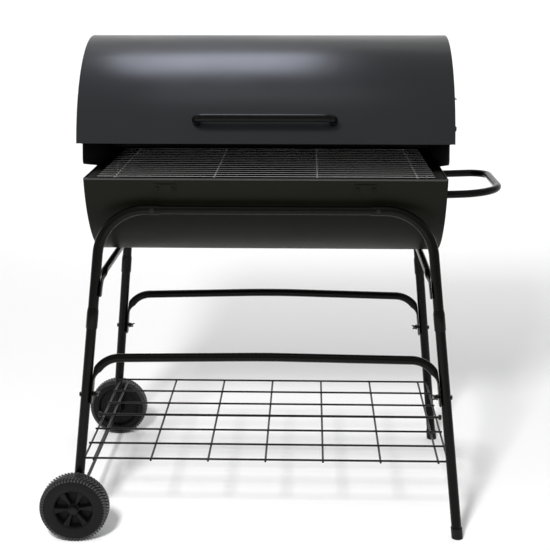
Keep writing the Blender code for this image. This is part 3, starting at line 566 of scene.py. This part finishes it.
def build_grate():
    shape = bmesh.new()
    half = GRATE_PITCH * (GRATE_RODS - 1) / 2
    for index in range(GRATE_RODS):
        along = index * GRATE_PITCH - half
        ends = [(-GRATE_HALF_LENGTH, along, GRATE_Z), (GRATE_HALF_LENGTH, along, GRATE_Z)]
        add_tube(shape, ends, GRATE_ROD_RADIUS, WIRE_SIDES)
    past = half + GRATE_CROSS_PAST
    for across in GRATE_CROSS_X:
        ends = [(across, -past, GRATE_CROSS_Z), (across, past, GRATE_CROSS_Z)]
        add_tube(shape, ends, GRATE_CROSS_RADIUS, WIRE_SIDES)
    piece("grate_wires", shape, CHROME, "grate", ["cooking_grate"])


# ---------------------------------------------------------------- stand


def tube_piece(name, shape, node):
    piece(name, shape, TUBE_PAINT, "frame", [node])


def build_legs():
    for end_name, end in ENDS.items():
        for side_name, side in SIDES.items():
            tag = f"{end_name}_{side_name}"
            corner = leg_point(side, end, CROSSBAR_Z)
            start = Vector((side * UPPER_LEG_START_X, corner.y, CROSSBAR_Z))
            corners = [start, corner, leg_point(side, end, UPPER_LEG_END_Z)]
            shape = bmesh.new()
            add_tube(shape, rounded(corners, (UPPER_LEG_BEND,), 24), LEG_RADIUS, TUBE_SIDES)
            down = (leg_point(side, end, 0) - leg_point(side, end, 1)).normalized()
            top = leg_point(side, end, SLEEVE_Z)
            add_turned(shape, SLEEVE_PROFILE, top, down, TUBE_SIDES, closed=True)
            tube_piece(f"upper_leg_{tag}", shape, f"leg_upper_{tag}")
            shape = bmesh.new()
            bottom = leg_point(side, end, LOWER_LEG_BOTTOM_Z[side_name])
            top = leg_point(side, end, LOWER_LEG_TOP_Z)
            add_tube(shape, [bottom, top], LEG_RADIUS, TUBE_SIDES)
            tube_piece(f"lower_leg_{tag}", shape, f"leg_lower_{tag}")


def build_cross_tubes():
    for end_name, end in ENDS.items():
        along = leg_point(1, end, CROSSBAR_Z).y
        shape = bmesh.new()
        half = CROSSBAR_HALF_LENGTH
        ends = [(-half, along, CROSSBAR_Z), (half, along, CROSSBAR_Z)]
        add_tube(shape, ends, CROSSBAR_RADIUS, TUBE_SIDES)
        tube_piece(f"crossbar_tube_{end_name}", shape, f"crossbar_{end_name}")
        heights = (STRETCHER_END_Z, STRETCHER_CORNER_Z[end])
        middle = STRETCHER_MIDDLE_Z[end]
        corners = [leg_point(-1, end, height, PRESSED_INSET) for height in heights]
        corners.append(Vector((0, leg_point(1, end, middle).y, middle)))
        corners += [leg_point(1, end, height, PRESSED_INSET) for height in reversed(heights)]
        shape = bmesh.new()
        path = rounded(corners, STRETCHER_BENDS, 24)
        add_tube(shape, path, CROSSBAR_RADIUS, TUBE_SIDES, press=STRETCHER_PRESS)
        tube_piece(f"stretcher_tube_{end_name}", shape, f"stretcher_{end_name}")
    heights = (BRACE_END_Z, BRACE_TOP_Z)
    for side_name, side in SIDES.items():
        corners = [leg_point(side, -1, height, PRESSED_INSET) for height in heights]
        corners += [leg_point(side, 1, height, PRESSED_INSET) for height in reversed(heights)]
        shape = bmesh.new()
        path = rounded(corners, BRACE_BENDS, 20)
        add_tube(shape, path, BRACE_RADIUS, TUBE_SIDES, press=BRACE_PRESS)
        tube_piece(f"brace_tube_{side_name}", shape, f"side_brace_{side_name}")


def add_wire(shape, start, end):
    add_tube(shape, [start, end], SHELF_WIRE_RADIUS, WIRE_SIDES, chamfer=WIRE_CHAMFER)


def build_shelf():
    shape = bmesh.new()
    half = SHELF_HALF_LENGTH
    for row in (-3, -2, -1, 1, 2, 3):
        along = row * SHELF_PITCH_Y
        add_wire(shape, (-half, along, SHELF_Z), (half, along, SHELF_Z))
    half = SHELF_HALF_DEPTH
    for column in range(-3, 4):
        across = column * SHELF_PITCH_X
        add_wire(shape, (across, -half, SHELF_CROSS_Z), (across, half, SHELF_CROSS_Z))
    piece("shelf_wires", shape, WIRE_COAT, "frame", ["shelf_panel"])
    half = SIDE_ROD_HALF_LENGTH
    for side_name, side in SIDES.items():
        shape = bmesh.new()
        across = side * SIDE_ROD_X
        add_wire(shape, (across, -half, SIDE_ROD_Z), (across, half, SIDE_ROD_Z))
        nodes = [f"shelf_side_rod_{side_name}"]
        piece(f"shelf_rod_{side_name}", shape, WIRE_COAT, "frame", nodes)


def build_wheel(end_name, end):
    hub = Vector((AXLE_X, end * WHEEL_Y, WHEEL_Z))
    out = Vector((0, end, 0))
    shape = bmesh.new()
    add_turned(shape, WHEEL_PROFILE, hub, out, 96, closed=True)
    for index in range(SPOKES):
        angle = math.radians(360 / SPOKES * index + SPOKE_START)
        add_spoke(shape, hub, end, angle)
    add_tread(shape, hub, end)
    piece(
        f"wheel_mould_{end_name}",
        shape,
        WHEEL_MOULD,
        f"{end_name}_wheel",
        [f"wheel_{end_name}"],
        # The lugs and tread beyond this radius take the lighter painted-highlight finish.
        trim=(WHEEL_TREAD_HIGHLIGHT, hub, TREAD_STARTS),
    )


def wheel_place(hub, end, radius, angle, offset):
    return hub + Vector((radius * math.cos(angle), end * offset, radius * math.sin(angle)))


def add_spoke(shape, hub, end, angle):
    """A spoke that widens towards the rim and stands out of the web."""
    rings = []
    for radius, half, height in SPOKE_STATIONS:
        half_ring = (
            (SPOKE_ROOT, half + SPOKE_DRAFT),
            (height - SPOKE_CHAMFER_DROP, half),
            (height, half - SPOKE_CHAMFER_WIDTH),
        )
        ring = [(offset, width / radius) for offset, width in half_ring]
        ring += [(offset, -spread) for offset, spread in reversed(ring)]
        places = [wheel_place(hub, end, radius, angle + spread, offset) for offset, spread in ring]
        rings.append([shape.verts.new(place) for place in places])
    skin(shape, rings)
    shape.faces.new(rings[0])
    shape.faces.new(rings[-1])


def lug_section(base, top):
    """Half a lug's outline is its root, its chamfer and its top, each with a half width."""
    half = list(zip((base, top - LUG_CHAMFER, top), LUG_HALF_WIDTHS))
    return [(radius, -spread) for radius, spread in half] + half[::-1]


def add_tread(shape, hub, end):
    """Two mirrored rows of slanted lugs that wrap over the shoulders."""
    pitch = 2 * math.pi / TREAD_LUGS
    for row in (-1, 1):
        for index in range(TREAD_LUGS):
            angle = index * pitch
            rings = []
            for offset, top, lean in LUG_STATIONS:
                base = LUG_ROOT if offset < LUG_SHOULDER else LUG_SHOULDER_ROOT
                ring = []
                for radius, spread in lug_section(base, top):
                    turn = angle + (lean + spread) * pitch
                    ring.append(shape.verts.new(wheel_place(hub, end, radius, turn, row * offset)))
                rings.append(ring)
            skin(shape, rings)
            shape.faces.new(rings[0])
            shape.faces.new(rings[-1])


def build_running_gear():
    for end_name, end in ENDS.items():
        build_wheel(end_name, end)
    shape = bmesh.new()
    ends = [(AXLE_X, -AXLE_HALF_LENGTH, WHEEL_Z), (AXLE_X, AXLE_HALF_LENGTH, WHEEL_Z)]
    add_tube(shape, ends, AXLE_RADIUS, 20)
    piece("axle_rod", shape, SCREW_STEEL, "frame", ["axle"])


def paint_cad_nodes():
    finishes = {
        "lid_enamel": LID_PAINT,
        "firebox_enamel": FIREBOX_PAINT,
        "tube_enamel": TUBE_PAINT,
        "grate_chrome": CHROME,
        "shelf_enamel": WIRE_COAT,
        "wheel_plastic": WHEEL_MOULD,
        "cap_plastic": CAP_MOULD,
        "black_steel": SCREW_STEEL,
    }
    for entry in frame["record"]["subparts"]:
        item = frame["nodes"][entry["node"]]
        for slot in item.material_slots:
            slot.material = finishes[entry["material_slot"]]
            if entry["node"].startswith("rail_plate"):
                slot.material = FIREBOX_PAINT
            if entry["node"].startswith(("charcoal_tray", "tray_rail", "grate_ledge")):
                slot.material = INSIDE_PAINT


# ---------------------------------------------------------------- studio


def build_floor():
    """A pale floor that curves up into a wall far behind the grill."""
    material = finish(
        "studio_floor", (0.90, 0.90, 0.90), 0.9, specular=0.1, grain=60, bump=0.0, mottle=0.004
    )
    start, curve = WALL_START, WALL_CURVE
    section = [(FLOOR_NEAR, 0.0), (start, 0.0)]
    for degrees in range(6, 91, 6):
        a = math.radians(degrees)
        section.append((start + curve * math.sin(a), curve - curve * math.cos(a)))
    section.append((start + curve, WALL_TOP))
    shape = bmesh.new()
    rings = []
    for along, up in section:
        left, right = (-FLOOR_HALF_WIDTH, along, up), (FLOOR_HALF_WIDTH, along, up)
        rings.append([shape.verts.new(left), shape.verts.new(right)])
    for ring, following in zip(rings, rings[1:]):
        shape.faces.new((ring[0], ring[1], following[1], following[0]))
    mesh = bpy.data.meshes.new("studio_floor")
    shape.to_mesh(mesh)
    shape.free()
    mesh.shade_smooth()
    mesh.materials.append(material)
    floor = bpy.data.objects.new("studio_floor", mesh)
    bpy.context.scene.collection.objects.link(floor)


def add_light(name, place, target, size, power, color=(1, 1, 1), size_y=None):
    light = bpy.data.lights.new(name, "AREA")
    light.shape = "RECTANGLE" if size_y else "DISK"
    light.size = size
    if size_y:
        light.size_y = size_y
    light.energy = power
    light.color = color
    lamp = bpy.data.objects.new(name, light)
    bpy.context.scene.collection.objects.link(lamp)
    lamp.location = place
    lamp.rotation_euler = (Vector(target) - Vector(place)).to_track_quat("-Z", "Y").to_euler()
    return lamp


def build_lights():
    world = bpy.data.worlds.new("studio_world")
    world.use_nodes = True
    background = world.node_tree.nodes["Background"]
    background.inputs["Color"].default_value = (1, 1, 1, 1)
    background.inputs["Strength"].default_value = WORLD_STRENGTH
    bpy.context.scene.world = world
    bpy.context.scene.view_settings.view_transform = "Standard"
    key = add_light(
        "key_light", place=(-0.62, -2.72, 2.50), target=(0, 0.6, 0.3), size=0.50, power=130
    )
    key.visible_glossy = False
    top = add_light(
        "top_softbox",
        place=(-0.265, 0.085, 1.95),
        target=(-0.265, -0.11, 1.0),
        size=0.86,
        size_y=0.50,
        power=13.5,
        color=(0.81, 0.845, 1.0),
    )
    top.visible_diffuse = False
    add_light(
        "front_softbox",
        place=(-0.10, -0.66, 1.90),
        target=(-0.10, -0.20, 0.9),
        size=1.10,
        size_y=0.24,
        power=1.2,
        color=(0.97, 0.98, 1.0),
    )
    add_light(
        "wall_light", place=(0, 3.5, 5.0), target=(0, 7, 1.5), size=6.0, size_y=2.0, power=220
    )


def build_camera():
    yaw, pitch, roll = CAMERA_YAW, CAMERA_PITCH, CAMERA_ROLL
    level = math.cos(pitch)
    forward = Vector((math.sin(yaw) * level, math.cos(yaw) * level, -math.sin(pitch)))
    across = Vector((math.cos(yaw), -math.sin(yaw), 0))
    up = across.cross(forward)
    right = across * math.cos(roll) + up * math.sin(roll)
    top = up * math.cos(roll) - across * math.sin(roll)
    camera = bpy.data.objects.new("camera", bpy.data.cameras.new("camera"))
    camera.data.lens = CAMERA_LENS
    camera.data.sensor_width = CAMERA_SENSOR
    camera.data.clip_end = CAMERA_FAR
    turn = Matrix((right, top, -forward)).transposed().to_4x4()
    camera.matrix_world = Matrix.Translation(CAMERA_PLACE) @ turn
    bpy.context.scene.collection.objects.link(camera)
    bpy.context.scene.camera = camera


paint_cad_nodes()
build_firebox()
build_rim_beads()
build_lid()
build_side_handle()
build_grate()
build_legs()
build_cross_tubes()
build_shelf()
build_running_gear()
build_floor()
build_lights()
build_camera()
